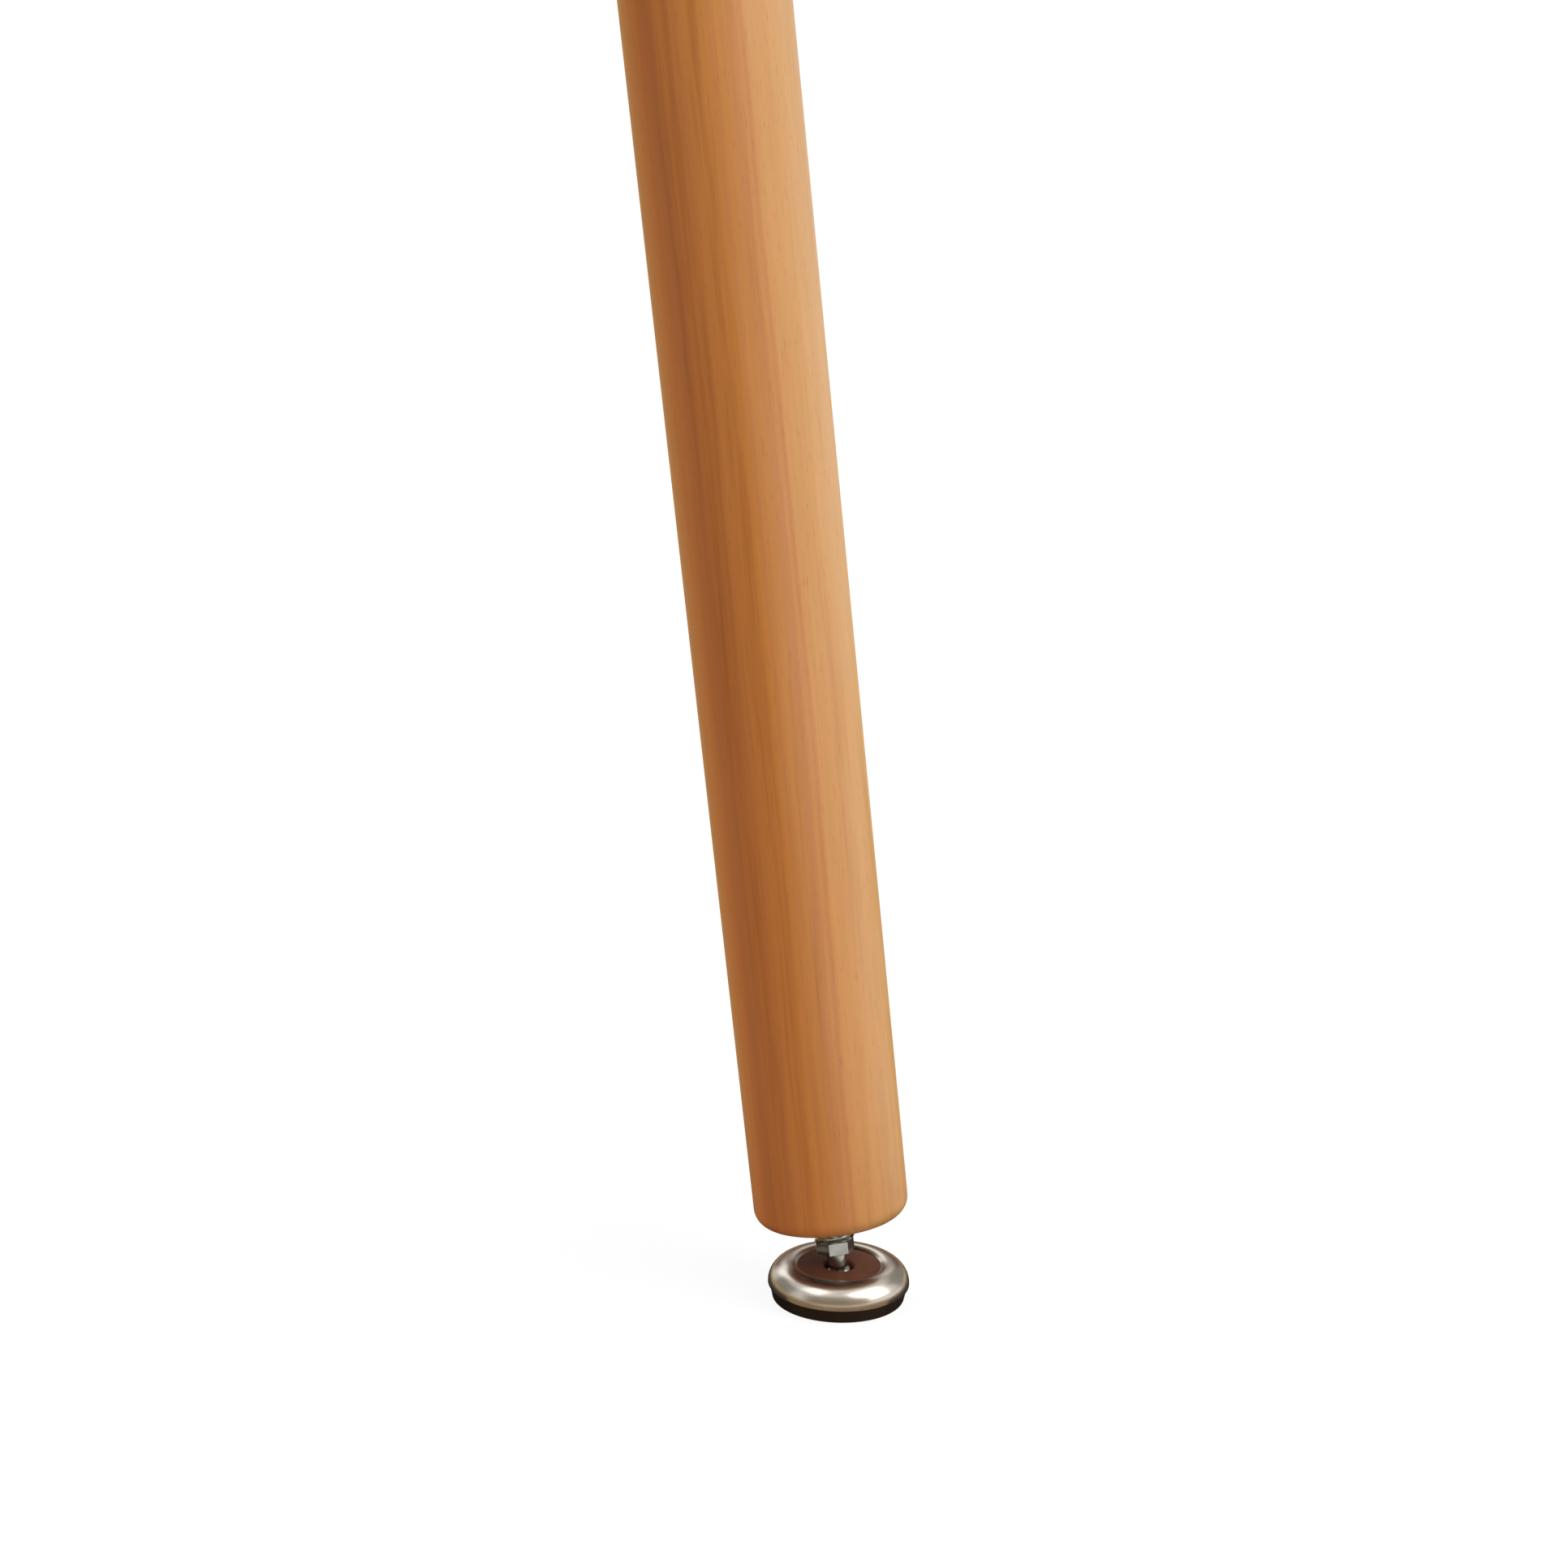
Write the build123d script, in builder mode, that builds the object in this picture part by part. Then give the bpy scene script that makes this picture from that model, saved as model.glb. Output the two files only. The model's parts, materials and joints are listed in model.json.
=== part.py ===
from build123d import *
import os
from math import cos, radians, sin, tan

os.makedirs("parts", exist_ok=True)

# Turned leg
leg_length = 700.0
leg_top_dia = 39.5
leg_foot_dia = 30.5
leg_foot_edge_radius = 3.5
leg_top_edge_chamfer = 1.0
splay_deg = 9.0

# Levelling stud, measured along the leg's axis from the centre of its ball
thread_dia = 8.0
thread_length = 40.0
thread_end_chamfer = 0.9
hex_across_flats = 6.6
hex_height = 2.4
hex_turn_deg = -13.0
neck_length = 5.8
neck_dia = 4.0
ball_dia = 6.4
leg_stand_off = 12.7

# Foot: plated ring over a moulded base
foot_dia = 28.0
ring_thickness = 0.7
ring_edge_height = 2.9
ring_wall_height = 0.5
ring_shoulder_radius = 4.2
ring_roll_radius = 2.2
ring_roll_deg = 43.0
ring_edge_round = 0.3
base_floor_dia = 26.2
base_edge_round = 0.6
base_side_inset = 0.35
base_floor_thickness = 0.8
disc_recess = 0.1
swivel_deg = 15.0
mouth_chamfer = 0.3

# Threaded insert in the leg's foot end
insert_dia = 12.0
insert_length = 18.0
insert_flange_dia = 17.0
insert_flange_thickness = 1.5
insert_barb_depth = 0.5
insert_barb_pitch = 3.6
insert_barb_share = 0.6
insert_barb_count = 4
insert_mouth_chamfer = 0.6

# Hanger bolt in the leg's top end
bolt_dia = 8.0
bolt_exposed = 25.0
bolt_screw_dia = 7.4
bolt_screw_length = 40.0
bolt_point_length = 9.0
bolt_point_dia = 1.0
bolt_end_chamfer = 0.9
bolt_mouth_room = 0.8

# Clearances between pieces that move on each other, on the radius
thread_clearance = 0.05
ball_clearance = 0.10
neck_clearance = 0.2
stud_bore_clearance = 0.6
stud_bore_end_room = 2.0

# Derived radii and heights
splay = radians(splay_deg)
ball_height = base_floor_thickness + ball_dia / 2 + ball_clearance
thread_start = neck_length + hex_height
leg_end = leg_stand_off + leg_length
foot_radius = foot_dia / 2
crest_radius = foot_radius - ring_shoulder_radius
shoulder_height = ring_edge_height + ring_wall_height
foot_height = shoulder_height + ring_shoulder_radius
roll_height = foot_height - ring_roll_radius
inner_shoulder = ring_shoulder_radius - ring_thickness
inner_roll = ring_roll_radius - ring_thickness
inner_wall = foot_radius - ring_thickness
roll = radians(ring_roll_deg)
disc_rim = ring_roll_radius - disc_recess
disc_radius = crest_radius - disc_rim * sin(roll)
disc_height = roll_height + disc_rim * cos(roll)
swivel = radians(swivel_deg)
mouth_depth = disc_height - ball_height
mouth_low_radius = neck_dia / 2 / cos(swivel) + neck_clearance
mouth_top_radius = mouth_low_radius + mouth_depth * tan(swivel)
bolt_mouth_radius = bolt_dia / 2 + bolt_mouth_room

# Leg frame: its origin is the ball's centre, and its Z runs up the splayed leg
across = Vector(cos(splay), 0, sin(splay))
along = Vector(-sin(splay), 0, cos(splay))
ball_centre = Vector(0, 0, ball_height)
leg_axis = Axis(ball_centre, along)
leg_section = Plane(origin=ball_centre, x_dir=across, z_dir=(0, -1, 0))
leg_plane = Plane(origin=ball_centre, x_dir=across, z_dir=along)
foot_end = Plane(origin=ball_centre + along * leg_stand_off, x_dir=across, z_dir=-along)
top_end = Plane(origin=ball_centre + along * leg_end, x_dir=across, z_dir=along)

# Threaded insert: flanged sleeve with barbs that grip the wood
with BuildPart() as foot_insert:
    with BuildSketch(foot_end):
        Circle(insert_flange_dia / 2)
    extrude(amount=-insert_flange_thickness)
    with BuildSketch(foot_end.offset(-insert_flange_thickness)):
        Circle(insert_dia / 2)
    extrude(amount=insert_flange_thickness - insert_length)
    barb_start = leg_stand_off + insert_flange_thickness + insert_barb_depth
    barb_length = insert_barb_pitch * insert_barb_share
    for barb in range(insert_barb_count):
        barb_height = barb_start + barb * insert_barb_pitch
        with BuildSketch(leg_section):
            with BuildLine():
                Polyline(
                    (insert_dia / 2 - insert_barb_depth, barb_height),
                    (insert_dia / 2 + insert_barb_depth, barb_height),
                    (insert_dia / 2, barb_height + barb_length),
                    (insert_dia / 2 - insert_barb_depth, barb_height + barb_length),
                    close=True,
                )
            make_face()
        revolve(axis=leg_axis)
    with Locations(foot_end):
        Hole(thread_dia / 2 + thread_clearance, depth=insert_length)
    mouth = foot_insert.edges().filter_by(GeomType.CIRCLE).sort_by(leg_axis).group_by(leg_axis)[0]
    chamfer(mouth.sort_by(SortBy.RADIUS)[0], length=insert_mouth_chamfer)
foot_insert.part.label = "foot_insert"

# Hanger bolt: machine thread above the leg, wood screw with a point below
with BuildPart() as hanger_bolt:
    with BuildSketch(leg_section):
        with BuildLine():
            screw_foot = leg_end - bolt_screw_length
            Polyline(
                (0, screw_foot - bolt_point_length),
                (bolt_point_dia / 2, screw_foot - bolt_point_length),
                (bolt_screw_dia / 2, screw_foot),
                (bolt_screw_dia / 2, leg_end),
                (bolt_dia / 2, leg_end),
                (bolt_dia / 2, leg_end + bolt_exposed),
                (0, leg_end + bolt_exposed),
                close=True,
            )
        make_face()
    revolve(axis=leg_axis)
    bolt_tip = hanger_bolt.edges().filter_by(GeomType.CIRCLE).sort_by(leg_axis)[-1]
    chamfer(bolt_tip, length=bolt_end_chamfer)
hanger_bolt.part.label = "hanger_bolt"

# Leg: straight taper, rounded foot edge, bores for the insert and the stud, countersunk hole for the bolt
with BuildPart() as leg:
    with BuildSketch(leg_section):
        with BuildLine():
            Polyline(
                (0, leg_stand_off),
                (leg_foot_dia / 2, leg_stand_off),
                (leg_top_dia / 2, leg_end),
                (0, leg_end),
                close=True,
            )
        make_face()
    revolve(axis=leg_axis)
    rims = leg.edges().filter_by(GeomType.CIRCLE).sort_by(leg_axis)
    fillet(rims[0], radius=leg_foot_edge_radius)
    top_rim = leg.edges().filter_by(GeomType.CIRCLE).sort_by(leg_axis)[-1]
    chamfer(top_rim, length=leg_top_edge_chamfer)
    with Locations(foot_end):
        CounterBoreHole(
            radius=insert_dia / 2,
            counter_bore_radius=insert_flange_dia / 2,
            counter_bore_depth=insert_flange_thickness,
            depth=insert_length,
        )
        Hole(thread_dia / 2 + stud_bore_clearance, depth=thread_length + stud_bore_end_room)
    with Locations(top_end):
        CounterSinkHole(
            radius=bolt_screw_dia / 2,
            counter_sink_radius=bolt_mouth_radius,
            depth=bolt_screw_length,
        )
    add(foot_insert.part, mode=Mode.SUBTRACT)
    add(hanger_bolt.part, mode=Mode.SUBTRACT)
leg.part.label = "leg"

# Levelling stud: ball, neck, spanner hexagon and thread in one turned piece
with BuildPart() as levelling_stud:
    with Locations(ball_centre):
        Sphere(ball_dia / 2)
    with BuildSketch(leg_plane):
        Circle(neck_dia / 2)
    extrude(amount=neck_length)
    with BuildSketch(leg_plane.offset(neck_length)):
        RegularPolygon(hex_across_flats / 2, 6, major_radius=False, rotation=hex_turn_deg)
    extrude(amount=hex_height)
    with BuildSketch(leg_plane.offset(thread_start)):
        Circle(thread_dia / 2)
    extrude(amount=thread_length)
    thread_rims = levelling_stud.edges().filter_by(GeomType.CIRCLE).sort_by(leg_axis)
    chamfer(thread_rims[-1], length=thread_end_chamfer)
levelling_stud.part.label = "levelling_stud"

# Plated ring: pressed from sheet, domed outside and rolled in round the opening
with BuildPart() as cap_ring:
    with BuildSketch(Plane.XZ):
        with BuildLine():
            outer_shoulder = CenterArc((crest_radius, shoulder_height), ring_shoulder_radius, 0, 90)
            outer_roll = CenterArc((crest_radius, roll_height), ring_roll_radius, 90, ring_roll_deg)
            inner_shoulder_arc = CenterArc((crest_radius, shoulder_height), inner_shoulder, 0, 90)
            inner_roll_arc = CenterArc((crest_radius, roll_height), inner_roll, 90, ring_roll_deg)
            Line(outer_roll @ 1, inner_roll_arc @ 1)
            Line(outer_shoulder @ 0, (foot_radius, ring_edge_height))
            Line((foot_radius, ring_edge_height), (inner_wall, ring_edge_height))
            Line((inner_wall, ring_edge_height), inner_shoulder_arc @ 0)
        make_face()
    revolve(axis=Axis.Z)
    lower_edges = cap_ring.edges().filter_by(GeomType.CIRCLE).group_by(Axis.Z)[0]
    fillet(lower_edges.sort_by(SortBy.RADIUS)[-1], radius=ring_edge_round)
cap_ring.part.label = "cap_ring"

# Moulded base: shoulder and core that the ring is pressed on, disc in its opening, ball socket, neck's cone
with BuildPart() as swivel_base:
    with BuildSketch(Plane.XZ):
        with BuildLine():
            core_shoulder = CenterArc((crest_radius, shoulder_height), inner_shoulder, 0, 90)
            core_roll = CenterArc((crest_radius, roll_height), inner_roll, 90, ring_roll_deg)
            Polyline(
                core_roll @ 1,
                (disc_radius, disc_height),
                (0, disc_height),
                (0, 0),
                (base_floor_dia / 2, 0),
                (foot_radius - base_side_inset, ring_edge_height),
                (inner_wall, ring_edge_height),
                core_shoulder @ 0,
            )
        make_face()
    revolve(axis=Axis.Z)
    floor_rim = swivel_base.edges().filter_by(GeomType.CIRCLE).group_by(Axis.Z)[0]
    fillet(floor_rim, radius=base_edge_round)
    with Locations(ball_centre):
        Sphere(ball_dia / 2 + ball_clearance, mode=Mode.SUBTRACT)
        Cone(
            mouth_low_radius,
            mouth_top_radius,
            mouth_depth,
            align=(Align.CENTER, Align.CENTER, Align.MIN),
            mode=Mode.SUBTRACT,
        )
    disc = swivel_base.faces().filter_by(Plane.XY).sort_by(Axis.Z)[-1]
    chamfer(disc.edges().sort_by(SortBy.RADIUS)[0], length=mouth_chamfer)
swivel_base.part.label = "swivel_base"

export_step(leg.part, "parts/leg.step")
export_step(foot_insert.part, "parts/foot_insert.step")
export_step(levelling_stud.part, "parts/levelling_stud.step")
export_step(cap_ring.part, "parts/cap_ring.step")
export_step(swivel_base.part, "parts/swivel_base.step")
export_step(hanger_bolt.part, "parts/hanger_bolt.step")
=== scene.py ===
"""Dresses a splayed wooden furniture leg and its swivelling levelling foot, and sets up its picture."""

import json
import logging
import math
from dataclasses import dataclass
from enum import Enum
from typing import Any, Union

import bpy
import numpy as np
from mathutils import Matrix, Quaternion, Vector


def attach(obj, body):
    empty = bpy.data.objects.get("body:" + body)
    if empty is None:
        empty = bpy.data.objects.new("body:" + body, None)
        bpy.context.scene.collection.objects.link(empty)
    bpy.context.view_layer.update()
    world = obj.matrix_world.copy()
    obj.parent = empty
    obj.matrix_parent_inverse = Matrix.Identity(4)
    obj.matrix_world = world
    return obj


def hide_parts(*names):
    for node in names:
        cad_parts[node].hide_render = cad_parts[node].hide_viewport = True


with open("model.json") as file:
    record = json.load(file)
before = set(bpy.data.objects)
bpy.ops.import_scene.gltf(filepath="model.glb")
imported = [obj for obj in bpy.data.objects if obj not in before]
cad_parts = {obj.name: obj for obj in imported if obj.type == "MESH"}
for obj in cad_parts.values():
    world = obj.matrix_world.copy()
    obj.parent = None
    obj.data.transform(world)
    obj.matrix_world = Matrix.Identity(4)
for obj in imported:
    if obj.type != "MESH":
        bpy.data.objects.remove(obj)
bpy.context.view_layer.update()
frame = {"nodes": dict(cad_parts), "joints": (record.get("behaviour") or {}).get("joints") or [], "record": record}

log = logging.getLogger("furniture_leg")

MM = 0.001
FULL_TURN = 2 * math.pi
SHARP_EDGE = math.radians(32)
NOISE_MEAN = 0.5
Triple = tuple[float, float, float]
Colour = tuple[float, float, float]
Pair = tuple[float, float]
Link = bpy.types.NodeSocket
Operand = Union["Signal", Link, float]
WHITE: Colour = (1.0, 1.0, 1.0)


class Body(Enum):
    """The rigid bodies that pieces ride on."""

    LEG = "leg"
    STUD = "stud"
    FOOT = "foot"


class Slot(Enum):
    """The record's material slots."""

    BEECH = "lacquered_beech"
    INSERT = "zinc_steel"
    STUD = "stud_steel"
    RING = "nickel_plate"
    BASE = "brown_plastic"
    BOLT = "bolt_steel"


class Signal:
    """A value socket that takes part in arithmetic: each operator adds one Math node to its graph."""

    def __init__(self, graph: "ShaderGraph", socket: Link) -> None:
        """Wraps one output socket of the graph."""
        self.graph = graph
        self.socket = socket

    def _math(self, operation: str, first: Operand, second: Operand = 0.0) -> "Signal":
        """A Math node's result for two operands."""
        node = self.graph.node("ShaderNodeMath", {"operation": operation}, {0: first, 1: second})
        return Signal(self.graph, node.outputs[0])

    def __add__(self, other: Operand) -> "Signal":
        """Sum."""
        return self._math("ADD", self, other)

    __radd__ = __add__

    def __sub__(self, other: Operand) -> "Signal":
        """Difference."""
        return self._math("SUBTRACT", self, other)

    def __rsub__(self, other: Operand) -> "Signal":
        """Difference from a number."""
        return self._math("SUBTRACT", other, self)

    def __mul__(self, other: Operand) -> "Signal":
        """Product."""
        return self._math("MULTIPLY", self, other)

    __rmul__ = __mul__

    def __truediv__(self, other: Operand) -> "Signal":
        """Quotient."""
        return self._math("DIVIDE", self, other)

    def __rtruediv__(self, other: Operand) -> "Signal":
        """Quotient of a number."""
        return self._math("DIVIDE", other, self)

    def __abs__(self) -> "Signal":
        """Size without sign."""
        return self._math("ABSOLUTE", self)

    def larger(self, other: Operand) -> "Signal":
        """The larger of the two."""
        return self._math("MAXIMUM", self, other)

    def ramp(self, low: float, high: float, to_low: float = 0.0, to_high: float = 1.0) -> "Signal":
        """A smooth step from one value to another.

        Args:
            low: where the step starts.
            high: where it ends.
            to_low: the result at and before low.
            to_high: the result at and after high.

        Returns:
            The stepped signal.
        """
        settings = {"interpolation_type": "SMOOTHSTEP"}
        inputs = {"Value": self, "From Min": low, "From Max": high, "To Min": to_low, "To Max": to_high}
        return Signal(self.graph, self.graph.node("ShaderNodeMapRange", settings, inputs).outputs["Result"])


class ShaderGraph:
    """A node tree that is being written: a material's or the world's."""

    def __init__(self, tree: bpy.types.NodeTree) -> None:
        """Starts from an empty tree."""
        self.tree = tree
        tree.nodes.clear()

    def node(self, kind: str, settings: dict[str, Any] | None = None,
             inputs: dict[str | int, Any] | None = None) -> bpy.types.Node:
        """Adds any node.

        Args:
            kind: the node's type.
            settings: attributes that are set first; "stops" holds a ramp's (place, colour) pairs.
            inputs: values or links of its sockets, by name or number.

        Returns:
            The node.
        """
        made = self.tree.nodes.new(kind)
        for name, value in (settings or {}).items():
            if name == "stops":
                self._set_stops(made.color_ramp, value)
            else:
                setattr(made, name, value)
        for name, value in (inputs or {}).items():
            source = value.socket if isinstance(value, Signal) else value
            if isinstance(source, Link):
                self.tree.links.new(source, made.inputs[name])
            else:
                made.inputs[name].default_value = source
        return made

    @staticmethod
    def _set_stops(ramp: bpy.types.ColorRamp, stops: list[tuple[float, Colour]]) -> None:
        """Gives a colour ramp its stops.

        Args:
            ramp: the ramp of a new node.
            stops: (place, colour) pairs in order.
        """
        while len(ramp.elements) < len(stops):
            ramp.elements.new(1.0)
        for element, (place, colour) in zip(ramp.elements, stops):
            element.position = place
            element.color = (*colour, 1.0)

    def signal(self, node: bpy.types.Node, output: str | int = 0) -> Signal:
        """One output of a node as a signal."""
        return Signal(self, node.outputs[output])

    def object_place(self) -> Link:
        """The Object coordinates of the piece."""
        return self.node("ShaderNodeTexCoord").outputs["Object"]

    def mapped(self, place: Link, location: Vector | Triple = (0, 0, 0), rotation: Triple = (0, 0, 0),
               scale: Triple = (1, 1, 1)) -> Link:
        """Coordinates that are scaled, then turned, then moved."""
        inputs = {"Vector": place, "Location": location, "Rotation": rotation, "Scale": scale}
        return self.node("ShaderNodeMapping", None, inputs).outputs[0]

    def noise(self, place: Link, scale: float, detail: float, roughness: float) -> Signal:
        """Soft noise from 0 to 1, centred on 0.5."""
        inputs = {"Vector": place, "Scale": scale, "Detail": detail, "Roughness": roughness}
        return self.signal(self.node("ShaderNodeTexNoise", {"noise_dimensions": "3D"}, inputs))

    def split(self, vector: Link) -> tuple[Signal, Signal, Signal]:
        """The three parts of a vector."""
        node = self.node("ShaderNodeSeparateXYZ", None, {0: vector})
        return self.signal(node, 0), self.signal(node, 1), self.signal(node, 2)

    def joined(self, x: Operand, y: Operand, z: Operand) -> Link:
        """A vector made of three values."""
        return self.node("ShaderNodeCombineXYZ", None, {0: x, 1: y, 2: z}).outputs[0]

    def blend(self, factor: Operand, first: Link | Colour, second: Link | Colour, way: str = "MIX") -> Link:
        """A mix of two colours.

        Args:
            factor: the share of the second colour.
            first: the first colour, as numbers or a link.
            second: the second colour, as numbers or a link.
            way: Blender's name of the blend.

        Returns:
            The mixed colour.
        """
        settings = {"data_type": "RGBA", "blend_type": way}
        colours = [(*c, 1.0) if isinstance(c, tuple) else c for c in (first, second)]
        return self.node("ShaderNodeMix", settings, {0: factor, 6: colours[0], 7: colours[1]}).outputs[2]

    def ramp(self, factor: Operand, stops: list[tuple[float, Colour]]) -> Link:
        """A colour read off a row of stops."""
        return self.node("ShaderNodeValToRGB", {"stops": stops}, {0: factor}).outputs[0]

    def bump(self, height: Operand, distance: float, strength: float) -> Link:
        """A surface normal that follows small heights."""
        inputs = {"Height": height, "Distance": distance, "Strength": strength}
        return self.node("ShaderNodeBump", None, inputs).outputs[0]


@dataclass(frozen=True)
class Pattern:
    """Soft noise: how fine it is along each axis, per metre, and how much detail it has."""

    fineness: Triple
    detail: float
    roughness: float = 0.5

    def at(self, graph: ShaderGraph, place: Link) -> Signal:
        """The noise at a place, from 0 to 1."""
        return graph.noise(graph.mapped(place, scale=self.fineness), 1.0, self.detail, self.roughness)


@dataclass(frozen=True)
class Streaks:
    """Noise that follows the wood's layers and is drawn out along the leg."""

    fineness: float
    along: float
    roughness: float
    aside: float = 0.35
    detail: float = 3.0

    def at(self, graph: ShaderGraph, layer: Signal, y: Signal, z: Signal) -> Signal:
        """The noise at a layer's depth, a place aside and a height, from 0 to 1."""
        place = graph.joined(layer, y * self.aside, z * self.along)
        return graph.noise(place, self.fineness, self.detail, self.roughness)


class Finish:
    """What a surface is made of; each kind writes its own shader."""

    def material(self, name: str) -> bpy.types.Material:
        """Makes the material.

        Args:
            name: the material's name.

        Returns:
            The finished material.
        """
        made = bpy.data.materials.new(name)
        made.use_nodes = True
        graph = ShaderGraph(made.node_tree)
        shader = graph.node("ShaderNodeBsdfPrincipled", None, self.inputs(graph))
        graph.node("ShaderNodeOutputMaterial", None, {"Surface": shader.outputs[0]})
        return made

    def inputs(self, graph: ShaderGraph) -> dict[str, Any]:
        """The sockets of the main shader, as numbers and links."""
        raise NotImplementedError


@dataclass(frozen=True)
class GrowthBand:
    """A growth layer that stands out from the wood round it."""

    place: float
    half_width: float
    share: float
    colour: Colour


@dataclass(frozen=True)
class LacqueredBeech(Finish):
    """Honey-toned beech: streaks along the leg, ray flecks, satin lacquer, and a tone across it that is partly
    darker heartwood and partly painted shade and painted sheen.
    """

    axis: "TurningAxis"
    foot_end: float
    top_end: float
    layers_face_deg: float = 34.0
    # Partly painted light: the heart stop is darkened as painted shade and the sap stop paled as painted sheen;
    # layers_face_deg turns them to the leg's left and right as the camera sees it.
    far_side: Colour = (0.54, 0.215, 0.058)
    heart_and_shade_side: Colour = (0.51, 0.152, 0.026)
    honey: Colour = (0.51, 0.181, 0.034)
    sap_and_sheen_side: Colour = (0.53, 0.285, 0.113)
    far_depth: float = 19.0 * MM
    heart_and_shade_depth: float = 13.0 * MM
    sap_and_sheen_depth: float = 15.0 * MM
    bands: tuple[GrowthBand, ...] = (
        GrowthBand(-10.8 * MM, 2.6 * MM, 0.45, (0.355, 0.098, 0.026)),
        GrowthBand(-6.0 * MM, 2.4 * MM, 0.50, (0.49, 0.155, 0.032)),
        GrowthBand(1.6 * MM, 1.1 * MM, 0.30, (0.455, 0.158, 0.052)),
        GrowthBand(5.4 * MM, 1.9 * MM, 0.50, (0.46, 0.172, 0.066)),
        GrowthBand(7.4 * MM, 0.8 * MM, 0.45, (0.44, 0.158, 0.062)),
    )
    band_core: float = 0.1
    ring_curve: float = 4.0
    wander: float = 8.0 * MM
    wander_pattern: Pattern = Pattern((20, 20, 3.2), 1.5)
    sway: float = 2.2 * MM
    sway_pattern: Pattern = Pattern((60, 60, 15), 1.0)
    broad: Streaks = Streaks(170.0, 0.012, 0.55)
    fine: Streaks = Streaks(900.0, 0.03, 0.6)
    broad_share: float = 0.6
    dark_streak: Colour = (0.76, 0.67, 0.57)
    pale_streak: Colour = (1.10, 1.14, 1.20)
    streak_stops: Triple = (0.30, 0.50, 0.70)
    # Painted shade: the lower leg is darkened and made more orange towards the floor, standing in for less sheen
    # there.
    foot_shade_tone: Colour = (0.975, 0.895, 0.76)
    foot_shade_span: float = 200.0 * MM
    blush: Colour = (1.03, 1.09, 1.28)
    blush_pattern: Pattern = Pattern((75, 75, 8), 2.0)
    blush_step: Pair = (0.46, 0.72)
    blush_share: float = 0.8
    fleck: Colour = (0.34, 0.11, 0.032)
    fleck_pattern: Pattern = Pattern((2600, 2600, 330), 1.0)
    fleck_step: Pair = (0.60, 0.74)
    fleck_share: float = 0.25
    end_tone: Colour = (0.70, 0.62, 0.52)
    end_share: float = 0.8
    foot_fade: float = 2.6 * MM
    top_fade: float = 1.04 * MM
    vessel_pattern: Pattern = Pattern((4200, 4200, 40), 1.0)
    vessel_step: Pair = (0.58, 0.70)
    vessel_share: float = 0.45
    pore_pattern: Pattern = Pattern((5200, 5200, 260), 2.0)
    pore_share: float = 0.6
    pore_depth: float = 0.02 * MM
    pore_strength: float = 0.35
    roughness: float = 0.46
    streak_roughness: float = 0.10
    fleck_roughness: float = 0.05
    end_roughness: float = 0.10
    gloss: float = 0.22
    lacquer: float = 0.08
    lacquer_roughness: float = 0.30

    def inputs(self, graph: ShaderGraph) -> dict[str, Any]:
        """Streaks are noise drawn out along the grain, on growth layers that wander as they run up the leg.

        Args:
            graph: the material's graph.

        Returns:
            The sockets of the main shader.
        """
        own = self.axis.own_place(graph, math.radians(self.layers_face_deg))
        x, y, z = graph.split(own)
        wander = self.wander_pattern.at(graph, own) - NOISE_MEAN
        sway = self.sway_pattern.at(graph, own) - NOISE_MEAN
        layer = x + y * y * self.ring_curve + wander * self.wander + sway * self.sway
        broad = self.broad.at(graph, layer, y, z)
        fine = self.fine.at(graph, layer, y, z)
        streak = broad * self.broad_share + fine * (1 - self.broad_share)
        tones = zip(self.streak_stops, (self.dark_streak, WHITE, self.pale_streak))
        # Painted shade towards the floor, over the leg's lowest stretch.
        lower = z.ramp(self.foot_end, self.foot_end + self.foot_shade_span, 1.0, 0.0)
        patches = self.blush_pattern.at(graph, own).ramp(*self.blush_step)
        flecks = self.fleck_pattern.at(graph, own).ramp(*self.fleck_step)
        pores = self.pore_pattern.at(graph, own)
        foot = z.ramp(self.foot_end, self.foot_end + self.foot_fade, 1.0, 0.0)
        end = foot.larger(z.ramp(self.top_end - self.top_fade, self.top_end))
        vessels = self.vessel_pattern.at(graph, own).ramp(*self.vessel_step)
        colour = self._layered(graph, layer)
        colour = graph.blend(1.0, colour, graph.ramp(streak, list(tones)), "MULTIPLY")
        colour = graph.blend(lower, colour, self.foot_shade_tone, "MULTIPLY")
        colour = graph.blend(patches * self.blush_share, colour, self.blush, "MULTIPLY")
        colour = graph.blend(flecks * self.fleck_share, colour, self.fleck)
        colour = graph.blend(end * self.end_share, colour, self.end_tone, "MULTIPLY")
        colour = graph.blend(end * vessels * self.vessel_share, colour, self.fleck)
        uneven = (streak - NOISE_MEAN) * self.streak_roughness + flecks * self.fleck_roughness
        relief = pores * self.pore_share + fine * (1 - self.pore_share)
        return {
            "Base Color": colour,
            "Roughness": self.roughness + uneven + end * self.end_roughness,
            "Specular IOR Level": self.gloss,
            "Coat Weight": self.lacquer,
            "Coat Roughness": self.lacquer_roughness,
            "Normal": graph.bump(relief, self.pore_depth, self.pore_strength),
        }

    def _layered(self, graph: ShaderGraph, layer: Signal) -> Link:
        """The wood's tone by its depth, which is partly real heart-to-sap tone and partly painted shade and sheen,
        with the growth bands laid over it.

        Args:
            graph: the material's graph.
            layer: the depth, from the far side through the heart and its painted shade to the sap side and its
                painted sheen.

        Returns:
            The colour.
        """
        span = self.far_depth + self.sap_and_sheen_depth
        heart = (self.far_depth - self.heart_and_shade_depth) / span
        middle = self.far_depth / span
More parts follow.
